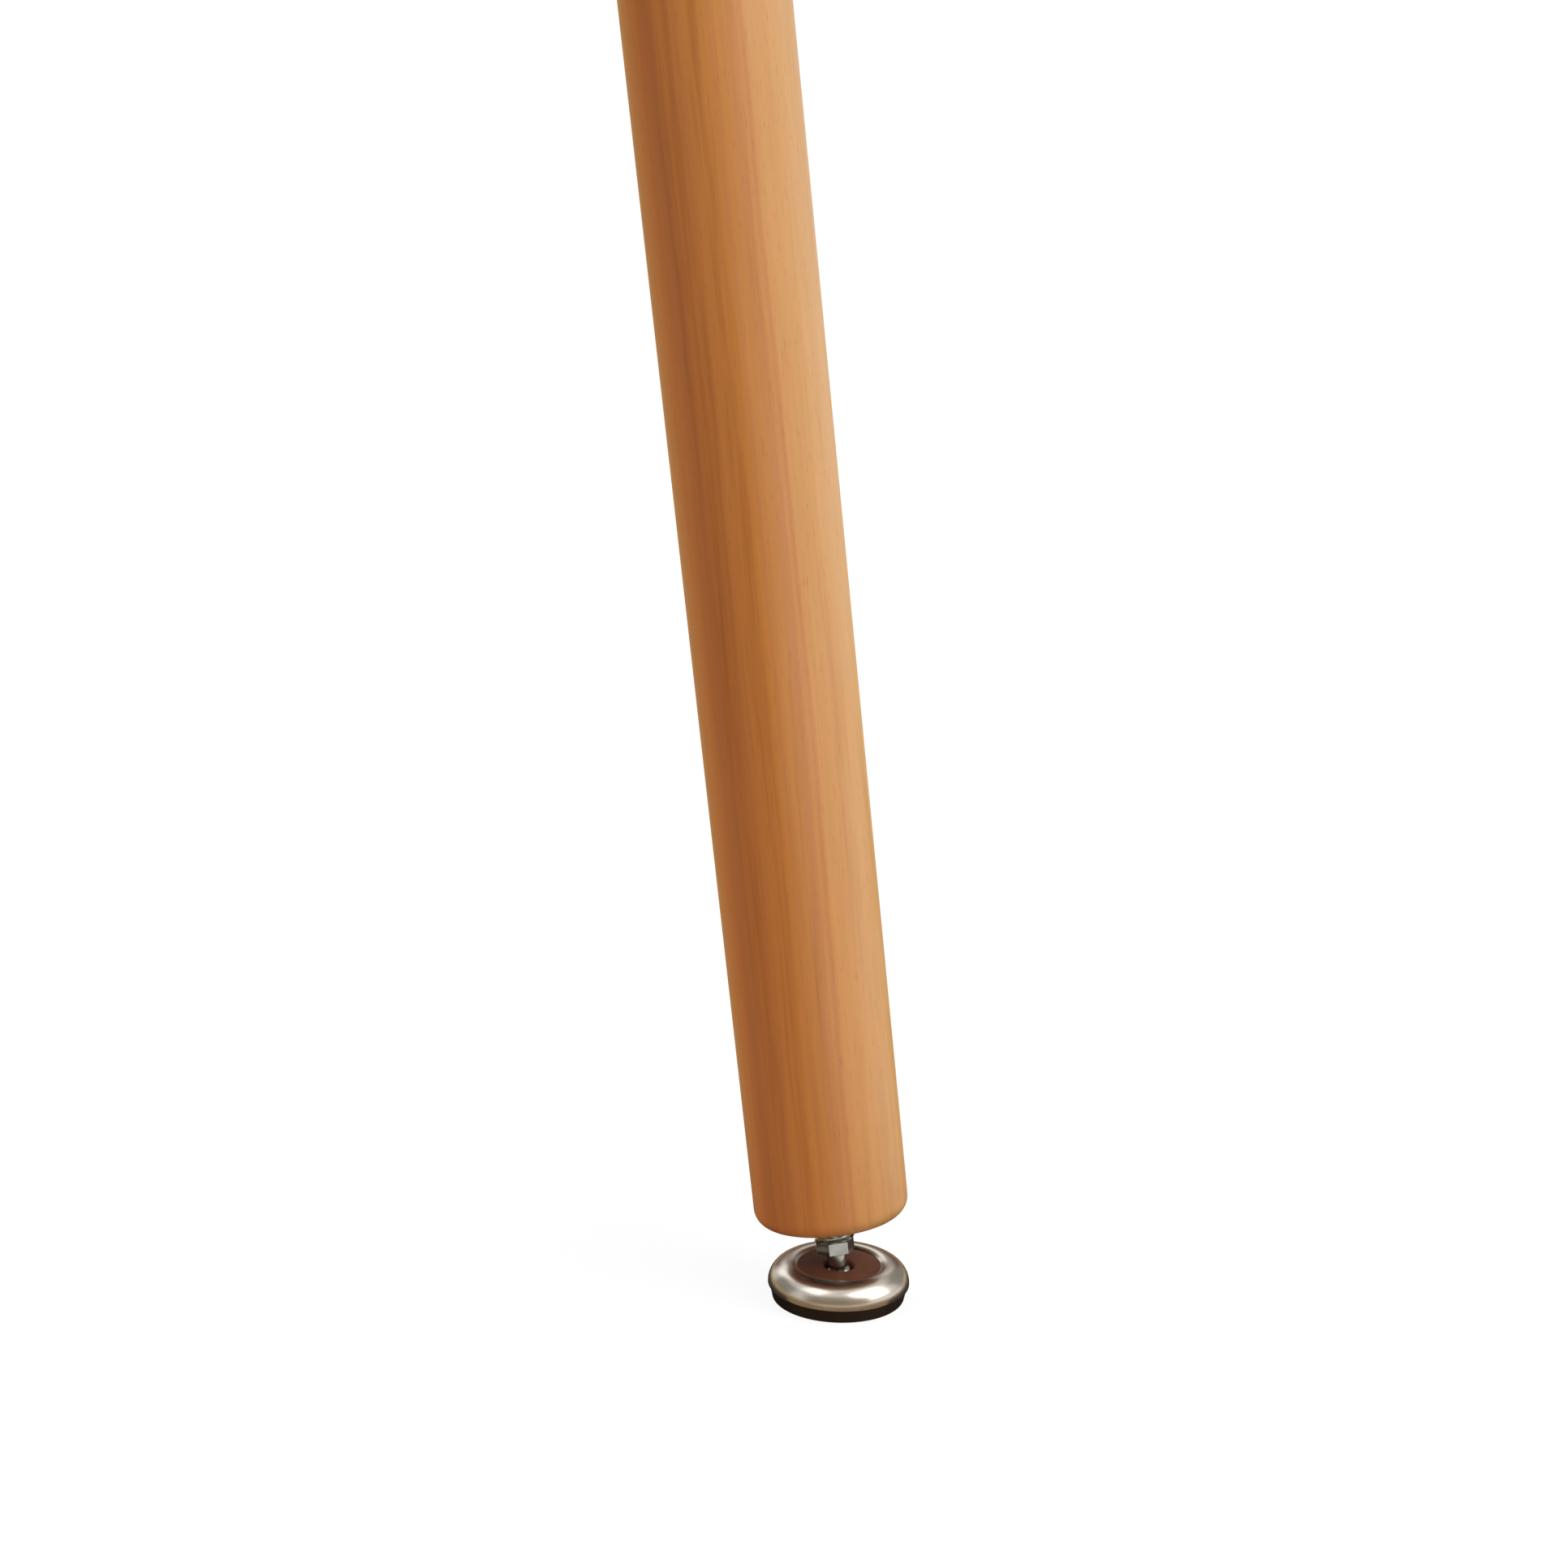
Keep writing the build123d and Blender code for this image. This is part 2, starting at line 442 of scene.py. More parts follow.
        # Painted shade at the heart stop and painted sheen at the sap stop, on top of the wood's own heart-to-sap
        # tone.
        tones = [(0.0, self.far_side), (heart, self.heart_and_shade_side), (middle, self.honey), (1.0, self.sap_and_sheen_side)]
        colour = graph.ramp((layer + self.far_depth) / span, tones)
        for band in self.bands:
            core = self.band_core * band.half_width
            near = abs(layer - band.place).ramp(core, band.half_width, 1.0, 0.0)
            colour = graph.blend(near * band.share, colour, band.colour)
        return colour


@dataclass(frozen=True)
class PlatedMetal(Finish):
    """Plated steel: a bright base with faint cloudiness and fine turning marks round its axis."""

    colour: Colour
    dull: Colour
    roughness: float
    cloud: float = 0.05
    cloud_scale: float = 260.0
    cloud_detail: float = 4.0
    cloud_roughness: float = 0.6
    cloud_step: Pair = (0.35, 0.75)
    mark_scale: float = 3200.0
    mark_detail: float = 2.0
    mark_roughness: float = 0.5
    mark_depth: float = 0.004 * MM
    mark_strength: float = 0.3

    def inputs(self, graph: ShaderGraph) -> dict[str, Any]:
        """Clouds vary the tint and the gloss; marks are noise that changes only along the height.

        Args:
            graph: the material's graph.

        Returns:
            The sockets of the main shader.
        """
        place = graph.object_place()
        height = graph.split(place)[2]
        clouds = graph.noise(place, self.cloud_scale, self.cloud_detail, self.cloud_roughness)
        turned = graph.joined(0.0, 0.0, height)
        marks = graph.noise(turned, self.mark_scale, self.mark_detail, self.mark_roughness)
        return {
            "Base Color": graph.blend(clouds.ramp(*self.cloud_step), self.colour, self.dull),
            "Metallic": 1.0,
            "Roughness": self.roughness + (clouds - NOISE_MEAN) * self.cloud,
            "Normal": graph.bump(marks, self.mark_depth, self.mark_strength),
        }


@dataclass(frozen=True)
class MouldedPlastic(Finish):
    """Brown moulded plastic: matt, finely grained, with paler flow streaks, and painted shade on its lower side.
    """

    colour: Colour = (0.130, 0.044, 0.020)
    flow: Colour = (0.165, 0.066, 0.036)
    flow_scale: float = 140.0
    flow_detail: float = 4.0
    flow_roughness: float = 0.55
    flow_step: Pair = (0.35, 0.72)
    flow_gloss: float = 0.12
    # Painted shade: the base's lower side is darkened towards the floor, where the ring's overhang shades it.
    skirt_shade: Colour = (0.020, 0.011, 0.007)
    skirt_shade_low: float = 2.8 * MM
    skirt_shade_high: float = 3.8 * MM
    grain_scale: float = 2600.0
    grain_detail: float = 2.0
    grain_roughness: float = 0.5
    grain_depth: float = 0.03 * MM
    grain_strength: float = 0.5
    roughness: float = 0.50
    gloss: float = 0.10

    def inputs(self, graph: ShaderGraph) -> dict[str, Any]:
        """Flow streaks are broad noise, the grain is a fine bump, and painted shade darkens the base towards the
        floor, under the ring's overhang.

        Args:
            graph: the material's graph.

        Returns:
            The sockets of the main shader.
        """
        place = graph.object_place()
        flow = graph.noise(place, self.flow_scale, self.flow_detail, self.flow_roughness)
        grain = graph.noise(place, self.grain_scale, self.grain_detail, self.grain_roughness)
        brown = graph.blend(flow.ramp(*self.flow_step), self.colour, self.flow)
        # Painted shade on the base's lower side, under the ring's overhang.
        low = graph.split(place)[2].ramp(self.skirt_shade_low, self.skirt_shade_high, 1.0, 0.0)
        return {
            "Base Color": graph.blend(low, brown, self.skirt_shade),
            "Roughness": self.roughness + (flow - NOISE_MEAN) * self.flow_gloss,
            "Specular IOR Level": self.gloss,
            "Normal": graph.bump(grain, self.grain_depth, self.grain_strength),
        }


@dataclass(frozen=True)
class TurningAxis:
    """A frame that round pieces are turned in: its third axis is the one they are turned about."""

    origin: np.ndarray
    across: np.ndarray
    aside: np.ndarray
    along: np.ndarray

    @classmethod
    def of_leg(cls) -> "TurningAxis":
        """The splayed leg's frame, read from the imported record.

        Returns:
            A frame with its origin at the tilt joint, which is the ball's centre, and its third axis along
            the top bolt.
        """
        tilt = next(j for j in frame["joints"] if j["name"] == "pad_tilt")
        bolt = next(m for m in frame["record"]["mounts"] if m["name"] == "top_bolt")
        along = np.array(bolt["axis"], float)
        along /= np.linalg.norm(along)
        aside = np.array(tilt["axis"], float)
        return cls(np.array(tilt["pos_m"], float), np.cross(aside, along), aside, along)

    @classmethod
    def on_floor(cls) -> "TurningAxis":
        """The standing foot's frame: upright, with its origin at the centre of the floor face."""
        return cls(np.zeros(3), *np.eye(3))

    @property
    def splay(self) -> float:
        """The lean of the axis from upright, in radians."""
        return math.atan2(-self.along[0], self.along[2])

    def place(self, radius: np.ndarray, angle: np.ndarray, height: np.ndarray) -> np.ndarray:
        """Points in the row frame: the origin plus radius times (cosine, sine) and height along the axes.

        Args:
            radius: distance from the axis, in metres.
            angle: turn about the axis, in radians.
            height: distance up the axis, in metres.

        Returns:
            An array of points with one more dimension than the arguments.
        """
        radius, angle, height = np.broadcast_arrays(radius, angle, height)
        out = (radius * np.cos(angle))[..., None]
        side = (radius * np.sin(angle))[..., None]
        return self.origin + out * self.across + side * self.aside + height[..., None] * self.along

    def own_place(self, graph: ShaderGraph, turn: float) -> Link:
        """Object coordinates turned into this frame, then turned about the axis.

        Args:
            graph: the shader that reads them.
            turn: the turn about the axis, in radians.

        Returns:
            The coordinates: across the turned layers, aside, and along the axis.
        """
        upright = Matrix.Rotation(self.splay, 3, "Y")
        shift = upright @ Vector(self.origin)
        own = graph.mapped(graph.object_place(), -shift, (0, self.splay, 0))
        return graph.mapped(own, rotation=(0, 0, -turn))


def arc(centre: Pair, radius: float, start_deg: float, end_deg: float, steps: int) -> np.ndarray:
    """Rows of (radius, height) on an arc: its centre plus its radius times (cosine, sine) of the angle."""
    angle = np.radians(np.linspace(start_deg, end_deg, steps + 1))
    return np.stack([centre[0] + radius * np.cos(angle), centre[1] + radius * np.sin(angle)], 1)


def profile(*stretches: Any) -> np.ndarray:
    """Joins single points and arcs into one profile of (radius, height) rows."""
    return np.concatenate([np.atleast_2d(np.asarray(s, float)) for s in stretches])


@dataclass(frozen=True)
class Piece:
    """A mesh worked out on a grid of points, which rides on a body and stands for one solid."""

    name: str
    node: str
    body: Body
    slot: Slot
    finish: Finish

    def from_grid(self, points: np.ndarray, loop: bool) -> bpy.types.Object:
        """Makes the mesh of a surface that closes round the axis.

        Row i and column j of the grid are joined to their neighbours by a quad; columns wrap round. A loop's
        rows wrap too. Otherwise the first and last rows lie on the axis, and each becomes one point.

        Args:
            points: the grid, as rows by columns by three coordinates.
            loop: whether the rows form a closed loop.

        Returns:
            The finished object.
        """
        rows, columns = points.shape[:2]
        column = np.arange(columns)
        beside = (column + 1) % columns
        if loop:
            vertices = points.reshape(-1, 3)
            row = np.arange(rows)
            above = (row + 1) % rows
            quads = self._quads(row * columns, above * columns, column, beside)
            fans = np.empty((0, 3), int)
        else:
            vertices = np.concatenate([points[:1, 0], points[1:-1].reshape(-1, 3), points[-1:, 0]])
            first = 1 + np.arange(rows - 3) * columns
            quads = self._quads(first, first + columns, column, beside)
            last_ring = 1 + (rows - 3) * columns
            last = np.full_like(column, len(vertices) - 1)
            start_fan = np.stack([np.zeros_like(column), 1 + beside, 1 + column], 1)
            end_fan = np.stack([last, last_ring + column, last_ring + beside], 1)
            fans = np.concatenate([start_fan, end_fan])
        mesh = bpy.data.meshes.new(self.name)
        mesh.from_pydata(vertices.tolist(), [], quads.tolist() + fans.tolist())
        return self._finished(mesh)

    @staticmethod
    def _quads(low: np.ndarray, high: np.ndarray, column: np.ndarray, beside: np.ndarray) -> np.ndarray:
        """Corner numbers of the quads between pairs of rows, from the numbers of the rows' first points."""
        low, high = low[:, None], high[:, None]
        return np.stack([low + column, low + beside, high + beside, high + column], -1).reshape(-1, 4)

    def _finished(self, mesh: bpy.types.Mesh) -> bpy.types.Object:
        """Smooths the mesh between its sharp edges, dresses it and puts it on its body.

        Args:
            mesh: the bare mesh.

        Returns:
            The finished object.
        """
        mesh.validate()
        mesh.shade_smooth()
        mesh.set_sharp_from_angle(angle=SHARP_EDGE)
        mesh.materials.append(self.finish.material(self.slot.value))
        made = bpy.data.objects.new(self.name, mesh)
        bpy.context.scene.collection.objects.link(made)
        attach(made, self.body.value)
        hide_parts(self.node)
        return made

    def turned(self, axis: TurningAxis, outline: np.ndarray, loop: bool, columns: int) -> bpy.types.Object:
        """A turned piece: each (radius, height) row of the outline is carried once round the axis."""
        angle = np.arange(columns) * FULL_TURN / columns
        return self.from_grid(axis.place(outline[:, :1], angle[None], outline[:, 1:]), loop)


@dataclass(frozen=True)
class Thread:
    """A right-handed screw thread with sloping flanks, a flat crest and a flat root."""

    pitch: float
    crest: float
    depth_share: float = 0.6134
    crest_share: float = 0.125
    root_share: float = 0.25
    rows_per_turn: int = 12

    def radius(self, height: np.ndarray, angle: np.ndarray) -> np.ndarray:
        """The thread's radius: the distance from the root's middle, in half pitches, read off the flank.

        Args:
            height: distance up the axis.
            angle: turn about the axis.

        Returns:
            The radius at each height and angle.
        """
        turn = (height / self.pitch - angle / FULL_TURN) % 1.0
        ridge = np.abs(2 * turn - 1)
        flank = np.clip((ridge - self.root_share) / (1 - self.crest_share - self.root_share), 0, 1)
        return self.crest - self.depth_share * self.pitch * (1 - flank)

    def rows(self, low: float, length: float, angle: np.ndarray) -> tuple[np.ndarray, np.ndarray]:
        """A stretch of the thread, with a fixed number of rows to each turn.

        Args:
            low: the height of its lower end.
            length: its length.
            angle: the turns of the columns about the axis.

        Returns:
            The rows' heights, and the radius by row and column.
        """
        count = int(length / self.pitch * self.rows_per_turn)
        heights = np.linspace(low, low + length, count)
        return heights, self.radius(heights[:, None], angle[None])

    def chamfered_rows(self, low: float, length: float, angle: np.ndarray,
                       chamfer: float) -> tuple[np.ndarray, np.ndarray]:
        """A stretch of the thread whose upper end is turned down by a chamfer of 45 degrees.

        Args:
            low: the height of its lower end.
            length: its length.
            angle: the turns of the columns about the axis.
            chamfer: the chamfer's size.

        Returns:
            The rows' heights, and the radius by row and column.
        """
        heights, ridged = self.rows(low, length, angle)
        cone = self.crest - chamfer + (low + length - heights[:, None])
        return heights, np.minimum(ridged, cone)


METRIC_8 = Thread(pitch=1.25 * MM, crest=4.0 * MM)


def hexagon(across_flats: float, angle: np.ndarray, turn: float) -> np.ndarray:
    """Radius of a hexagon: half its width, divided by the cosine of the angle from the nearest flat."""
    sixth = FULL_TURN / 6
    return across_flats / 2 / np.cos((angle - turn) % sixth - sixth / 2)


@dataclass
class TurnedLeg:
    """The wooden leg with its bores, made as one turned surface."""

    axis: TurningAxis
    stand_off: float = 12.7 * MM
    length: float = 700.0 * MM
    foot_radius: float = 15.25 * MM
    top_radius: float = 19.75 * MM
    foot_edge: float = 3.5 * MM
    top_edge: float = 1.0 * MM
    flange_radius: float = 8.5 * MM
    flange_depth: float = 1.5 * MM
    insert_radius: float = 6.0 * MM
    insert_depth: float = 18.0 * MM
    stud_bore_radius: float = 4.6 * MM
    stud_bore_depth: float = 42.0 * MM
    pilot_radius: float = 3.7 * MM
    pilot_depth: float = 40.0 * MM
    mouth_radius: float = 4.8 * MM
    mouth_angle_deg: float = 82.0
    columns: int = 160
    side_rows: int = 48
    side_start: float = 0.02
    edge_steps: int = 10

    @property
    def top(self) -> float:
        """The height of the top end up the axis."""
        return self.stand_off + self.length

    def build(self) -> list[bpy.types.Object]:
        """Turns the outline: foot bores, rounded foot edge, straight taper, top edge and countersunk hole.

        Returns:
            The leg.
        """
        foot = self.stand_off
        top = self.top
        mouth_half = math.radians(self.mouth_angle_deg / 2)
        mouth_depth = (self.mouth_radius - self.pilot_radius) / math.tan(mouth_half)
        taper = (self.top_radius - self.foot_radius) / self.length
        edge_radius = self.foot_radius + taper * self.foot_edge
        edge_centre = (edge_radius - self.foot_edge, foot + self.foot_edge)
        low = np.array([edge_radius, foot + self.foot_edge])
        high = np.array([self.top_radius - taper * self.top_edge, top - self.top_edge])
        side = np.linspace(self.side_start, 1.0, self.side_rows)[:, None]
        outline = profile(
            (0, foot + self.stud_bore_depth),
            (self.stud_bore_radius, foot + self.stud_bore_depth),
            (self.stud_bore_radius, foot + self.insert_depth),
            (self.insert_radius, foot + self.insert_depth),
            (self.insert_radius, foot + self.flange_depth),
            (self.flange_radius, foot + self.flange_depth),
            (self.flange_radius, foot),
            arc(edge_centre, self.foot_edge, -90, 0, self.edge_steps),
            low + (high - low) * side,
            (self.top_radius - self.top_edge, top),
            (self.mouth_radius, top),
            (self.pilot_radius, top - mouth_depth),
            (self.pilot_radius, top - self.pilot_depth),
            (0, top - self.pilot_depth),
        )
        wood = LacqueredBeech(self.axis, foot, top)
        leg = Piece("turned_leg", "leg", Body.LEG, Slot.BEECH, wood)
        return [leg.turned(self.axis, outline, False, self.columns)]


@dataclass
class LevellingStud:
    """The levelling screw: ball, neck, spanner hexagon and thread."""

    axis: TurningAxis
    finish: PlatedMetal
    ball_radius: float = 3.2 * MM
    neck_radius: float = 2.0 * MM
    neck_length: float = 5.8 * MM
    neck_fillet: float = 0.5 * MM
    across_flats: float = 6.6 * MM
    hex_height: float = 2.4 * MM
    hex_turn: float = math.radians(-13.0)
    thread: Thread = METRIC_8
    thread_length: float = 40.0 * MM
    end_chamfer: float = 0.9 * MM
    columns: int = 72
    ball_steps: int = 24
    fillet_steps: int = 5

    def build(self) -> list[bpy.types.Object]:
        """Stacks the ball, the neck, the hexagon and the thread into one grid of radii.

        Returns:
            The screw.
        """
        angle = self.hex_turn + np.arange(self.columns) * FULL_TURN / self.columns
        neck_rows = self._ball_and_neck()
        flats = hexagon(self.across_flats, angle, self.hex_turn)
        low = self.neck_length
        high = low + self.hex_height
        heights, ridged = self.thread.chamfered_rows(high, self.thread_length, angle, self.end_chamfer)
        radius = np.concatenate([
            np.repeat(neck_rows[:, :1], self.columns, 1),
            np.repeat(flats[None], 2, 0),
            ridged,
            np.zeros((1, self.columns)),
        ])
        height = np.concatenate([neck_rows[:, 1], [low, high], heights, heights[-1:]])
        grid = self.axis.place(radius, angle[None], height[:, None])
        screw = Piece("levelling_screw", "levelling_stud", Body.STUD, Slot.STUD, self.finish)
        return [screw.from_grid(grid, False)]

    def _ball_and_neck(self) -> np.ndarray:
        """The round outline from the ball's lowest point to the top of the neck.

        Returns:
            Rows of (radius, height).
        """
        meets_deg = math.degrees(math.acos(self.neck_radius / self.ball_radius))
        fillet_low = self.neck_length - self.neck_fillet
        fillet_centre = (self.neck_radius + self.neck_fillet, fillet_low)
        return profile(
            arc((0, 0), self.ball_radius, -90, meets_deg, self.ball_steps),
            (self.neck_radius, fillet_low),
            arc(fillet_centre, self.neck_fillet, 180, 90, self.fillet_steps),
        )


@dataclass
class HangerBolt:
    """The fixing in the leg's top end: wood screw with a point below, machine thread above."""

    axis: TurningAxis
    finish: PlatedMetal
    leg_end: float
    exposed: float = 25.0 * MM
    screw_length: float = 40.0 * MM
    point_length: float = 9.0 * MM
    point_radius: float = 0.5 * MM
    thread: Thread = METRIC_8
    wood_thread: Thread = Thread(3.0 * MM, 3.7 * MM, depth_share=0.32, crest_share=0.08, root_share=0.5)
    end_chamfer: float = 0.9 * MM
    columns: int = 64

    def build(self) -> list[bpy.types.Object]:
        """Stacks the pointed wood thread and the machine thread into one grid of radii.

        Returns:
            The bolt.
        """
        angle = np.arange(self.columns) * FULL_TURN / self.columns
        wood_length = self.screw_length + self.point_length
        point = self.leg_end - wood_length
        wood_heights, wood = self.wood_thread.rows(point, wood_length, angle)
        slope = (self.wood_thread.crest - self.point_radius) / self.point_length
        wood = np.minimum(wood, self.point_radius + (wood_heights[:, None] - point) * slope)
        heights, metal = self.thread.chamfered_rows(self.leg_end, self.exposed, angle, self.end_chamfer)
        closed = np.zeros((1, self.columns))
        radius = np.concatenate([closed, wood, metal, closed])
        height = np.concatenate([[point], wood_heights, heights, heights[-1:]])
        grid = self.axis.place(radius, angle[None], height[:, None])
        bolt = Piece("top_bolt", "hanger_bolt", Body.LEG, Slot.BOLT, self.finish)
        return [bolt.from_grid(grid, False)]


@dataclass
class SwivelFoot:
    """The foot: a plated ring pressed over a moulded base that holds the stud's ball."""

    axis: TurningAxis
    ball_centre: float
    ring_finish: PlatedMetal
    base_finish: MouldedPlastic
    radius: float = 14.0 * MM
    sheet: float = 0.7 * MM
    edge_height: float = 2.9 * MM
    wall_height: float = 0.5 * MM
    shoulder: float = 4.2 * MM
    roll: float = 2.2 * MM
    roll_deg: float = 43.0
    disc_recess: float = 0.1 * MM
    edge_round: float = 0.3 * MM
    floor_radius: float = 13.1 * MM
    floor_round: float = 0.6 * MM
    side_inset: float = 0.35 * MM
    socket_radius: float = 3.3 * MM
    mouth_low_radius: float = 2.2706 * MM
    swivel_deg: float = 15.0
    mouth_chamfer: float = 0.3 * MM
    columns: int = 144
    round_steps: int = 5
    shoulder_steps: int = 32
    inner_shoulder_steps: int = 24
    roll_steps: int = 16
    core_roll_steps: int = 12
    floor_steps: int = 6
    socket_steps: int = 24

    @property
    def shoulder_centre(self) -> Pair:
        """The centre of the shoulder's arcs, as (radius, height)."""
        return self.radius - self.shoulder, self.edge_height + self.wall_height

    @property
    def roll_centre(self) -> Pair:
        """The centre of the roll's arcs, as (radius, height)."""
        crest, shoulder_height = self.shoulder_centre
        return crest, shoulder_height + self.shoulder - self.roll

    @property
    def roll_end_deg(self) -> float:
        """The angle at which the roll ends."""
        return 90 + self.roll_deg

    def build(self) -> list[bpy.types.Object]:
        """Makes the ring and the base.

        Returns:
            The two pieces.
        """
        ring = Piece("plated_ring", "cap_ring", Body.FOOT, Slot.RING, self.ring_finish)
        base = Piece("moulded_base", "swivel_base", Body.FOOT, Slot.BASE, self.base_finish)
        return [
            ring.turned(self.axis, self._ring_outline(), True, self.columns),
            base.turned(self.axis, self._base_outline(), False, self.columns),
        ]

    def _ring_outline(self) -> np.ndarray:
        """Up the outer wall, over the shoulder, down the roll, and back along the sheet's inner side.

        Returns:
            Rows of (radius, height).
        """
        low = self.shoulder_centre
        top = self.roll_centre
        edge = (self.radius - self.edge_round, self.edge_height + self.edge_round)
        return profile(
            arc(edge, self.edge_round, -90, 0, self.round_steps),
            arc(low, self.shoulder, 0, 90, self.shoulder_steps),
            arc(top, self.roll, 90, self.roll_end_deg, self.roll_steps)[1:],
            arc(top, self.roll - self.sheet, self.roll_end_deg, 90, self.roll_steps),
            arc(low, self.shoulder - self.sheet, 90, 0, self.inner_shoulder_steps)[1:],
            (self.radius - self.sheet, self.edge_height),
        )

    def _base_outline(self) -> np.ndarray:
        """Out over the floor, up the side, over the core in the ring, across the disc and down the socket.

        Returns:
            Rows of (radius, height).
        """
        crest, roll_height = self.roll_centre
        turn = math.radians(self.roll_deg)
        disc_rim = self.roll - self.disc_recess
        disc = roll_height + disc_rim * math.cos(turn)
        flare = math.tan(math.radians(self.swivel_deg))
        mouth = self.mouth_low_radius + (disc - self.ball_centre) * flare
        floor_centre = (self.floor_radius - self.floor_round, self.floor_round)
        core_shoulder = self.shoulder - self.sheet
        core_roll = self.roll - self.sheet
        return profile(
            (0, 0),
            arc(floor_centre, self.floor_round, -90, 0, self.floor_steps),
            (self.radius - self.side_inset, self.edge_height),
            (self.radius - self.sheet, self.edge_height),
            arc(self.shoulder_centre, core_shoulder, 0, 90, self.inner_shoulder_steps),
            arc(self.roll_centre, core_roll, 90, self.roll_end_deg, self.core_roll_steps)[1:],
            (crest - disc_rim * math.sin(turn), disc),
            (mouth + self.mouth_chamfer, disc),
            (mouth - self.mouth_chamfer * flare, disc - self.mouth_chamfer),
            arc((0, self.ball_centre), self.socket_radius, self._grip_deg(), -90, self.socket_steps),
        )

    def _grip_deg(self) -> float:
        """The angle above the ball's centre at which the mouth's cone meets the socket, in degrees."""
        lean = math.radians(self.swivel_deg)
        return math.degrees(math.acos(self.mouth_low_radius * math.cos(lean) / self.socket_radius) - lean)


@dataclass
class ThreadedInsert:
    """The insert in the leg's foot end, which keeps its solid and gets its finish."""

    finish: PlatedMetal
    node: str = "foot_insert"
    slot: Slot = Slot.INSERT

    def build(self) -> list[bpy.types.Object]:
        """Gives the solid its material.

        Returns:
            The solid's object.
        """
        solid = frame["nodes"][self.node]
        solid.data.materials.clear()
        solid.data.materials.append(self.finish.material(self.slot.value))
        return [solid]


@dataclass(frozen=True)
class Lamp:
    """A square soft light that faces the leg's lower part; its azimuth is counted from the camera's."""

    name: str
    azimuth_deg: float
    elevation_deg: float
    distance: float
    size: float
    power: float


class Glow(Enum):
    """The even colours that cards show in reflections."""

    GREY = (0.38, 0.36, 0.33)
    HAZE = (0.44, 0.40, 0.36)
    WARM = (0.40, 0.28, 0.16)
    GOLDEN = (0.80, 0.62, 0.26)
    DUSK = (0.17, 0.07, 0.05)
    UMBER = (0.08, 0.05, 0.02)
    SHADE = (0.05, 0.04, 0.04)
    BRIGHT = (2.6, 2.6, 2.6)


@dataclass(frozen=True)
class Card:
    """A glowing sheet that only reflections see, so that metal and lacquer show their shape.

    Its azimuth is counted from the camera's. With a depth share it lies in the gap between foot and floor, at
    that share of the gap's depth; otherwise it faces the foot.
    """

    name: str
    azimuth_deg: float
    elevation_deg: float
    distance: float
    width: float
    height: float
    glow: Glow
    depth_share: float = 0.0


